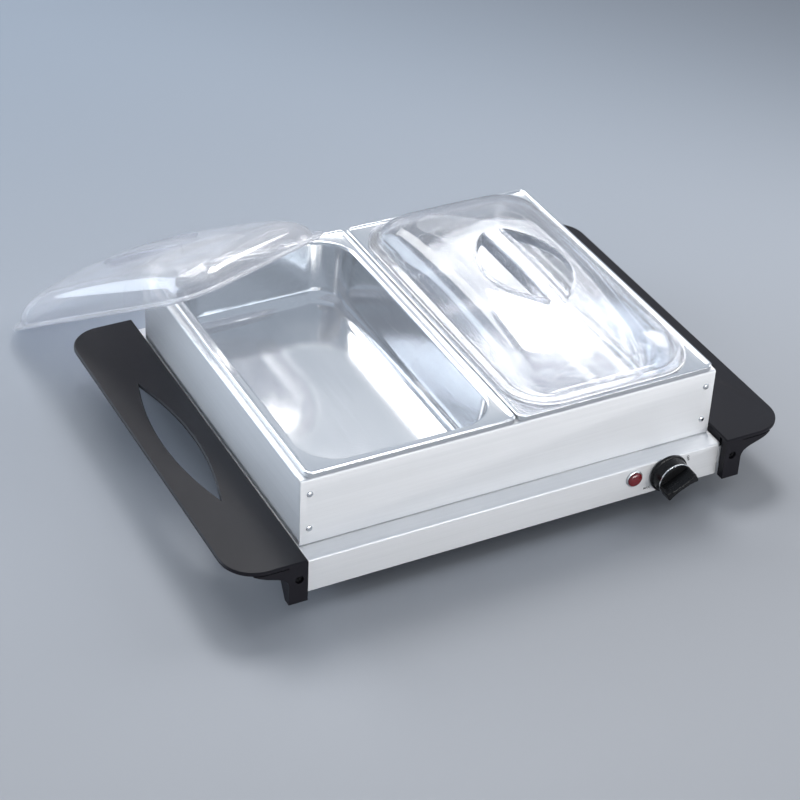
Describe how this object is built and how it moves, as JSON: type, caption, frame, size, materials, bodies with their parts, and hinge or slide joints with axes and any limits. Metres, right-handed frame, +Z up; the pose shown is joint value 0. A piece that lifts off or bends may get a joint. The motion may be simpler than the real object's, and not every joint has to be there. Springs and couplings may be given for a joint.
{
  "type": "electric warming tray",
  "caption": "Low heated steel tray with side handles, a lift-off frame, hanging rectangular pans, domed clear lids and a thermostat knob.",
  "frame": {"origin": "on the table, under the middle of the whole part at rest, with the leaning lid counted in", "axes": "+X to the right seen from the front, +Y from the control side to the back, +Z up; millimetre model in metres"},
  "size_m": [0.5618, 0.5634, 0.1739],
  "materials": {
    "brushed_steel": "fine brushed stainless sheet",
    "polished_steel": "polished stainless",
    "plated_steel": "zinc plated",
    "blackened_steel": "black oxide",
    "aluminium": "rolled sheet",
    "dark_plastic": "satin moulded, charcoal",
    "gloss_black": "glossy moulded",
    "rubber": "matt",
    "moulded": "heat-resistant moulding",
    "red_lens": "translucent dark red",
    "insulation": "heat-resistant sleeve",
    "clear_plastic": "clear moulded"
  },
  "bodies": {
    "base": {"base_housing": "brushed_steel", "bottom_cover": "plated_steel", "foot_front_left": "rubber", "cover_screw_front_left": "plated_steel", "foot_front_right": "rubber", "cover_screw_front_right": "plated_steel", "foot_back_left": "rubber", "cover_screw_back_left": "plated_steel", "foot_back_right": "rubber", "cover_screw_back_right": "plated_steel", "handle_right": "dark_plastic", "handle_left": "dark_plastic", "handle_screw_front_left": "blackened_steel", "handle_screw_front_right": "blackened_steel", "handle_screw_back_left": "blackened_steel", "handle_screw_back_right": "blackened_steel", "thermostat_body": "insulation", "lamp_housing": "polished_steel", "lamp_lens": "red_lens", "neon_bulb": "moulded", "lamp_clip": "plated_steel", "cord_gland": "gloss_black", "gland_nut": "gloss_black", "heater_plate": "aluminium", "heater_element": "blackened_steel", "element_clamp_left": "plated_steel", "element_clamp_right": "plated_steel", "reflector_tray": "aluminium", "terminal_block": "moulded", "thermal_fuse": "moulded", "fuse_saddle": "plated_steel", "earth_tag": "plated_steel", "earth_nut": "plated_steel", "wire_element_to_fuse": "insulation", "wire_fuse_to_block": "insulation", "wire_lamp_to_block": "insulation", "wire_thermostat_to_block": "insulation", "wire_thermostat_to_element": "insulation", "earth_lead": "insulation"},
    "knob": {"knob": "gloss_black", "knob_trim": "polished_steel", "thermostat_shaft": "plated_steel"},
    "frame": {"frame_front": "brushed_steel", "frame_back": "brushed_steel", "frame_left": "brushed_steel", "frame_right": "brushed_steel", "rivet_front_left_low": "polished_steel", "rivet_front_left_high": "polished_steel", "rivet_front_right_low": "polished_steel", "rivet_front_right_high": "polished_steel", "rivet_back_left_low": "polished_steel", "rivet_back_left_high": "polished_steel", "rivet_back_right_low": "polished_steel", "rivet_back_right_high": "polished_steel", "cross_bar": "brushed_steel"},
    "pan_left": {"pan_left": "polished_steel"},
    "pan_right": {"pan_right": "polished_steel"},
    "lid_left": {"lid_left": "clear_plastic"},
    "lid_right": {"lid_right": "clear_plastic"}
  },
  "joints": [
    {"name": "knob_turn", "type": "hinge", "parent": "base", "child": "knob", "pos_m": [0.1599, -0.25632, 0.032], "axis": [0, 1, 0], "range_deg": [0, 175]},
    {"name": "frame_lift", "type": "slide", "parent": "base", "child": "frame", "axis": [0, 0, 1], "range_m": [0, 0.12]},
    {"name": "pan_left_lift", "type": "slide", "parent": "frame", "child": "pan_left", "axis": [0, 0, 1], "range_m": [0, 0.1]},
    {"name": "pan_right_lift", "type": "slide", "parent": "frame", "child": "pan_right", "axis": [0, 0, 1], "range_m": [0, 0.1]},
    {"name": "lid_left_lift", "type": "slide", "parent": "pan_left", "child": "lid_left", "axis": [0, 0, 1], "range_m": [0, 0.1]},
    {"name": "lid_right_lift", "type": "slide", "parent": "pan_right", "child": "lid_right", "axis": [0, 0, 1], "range_m": [0, 0.1]}
  ]
}
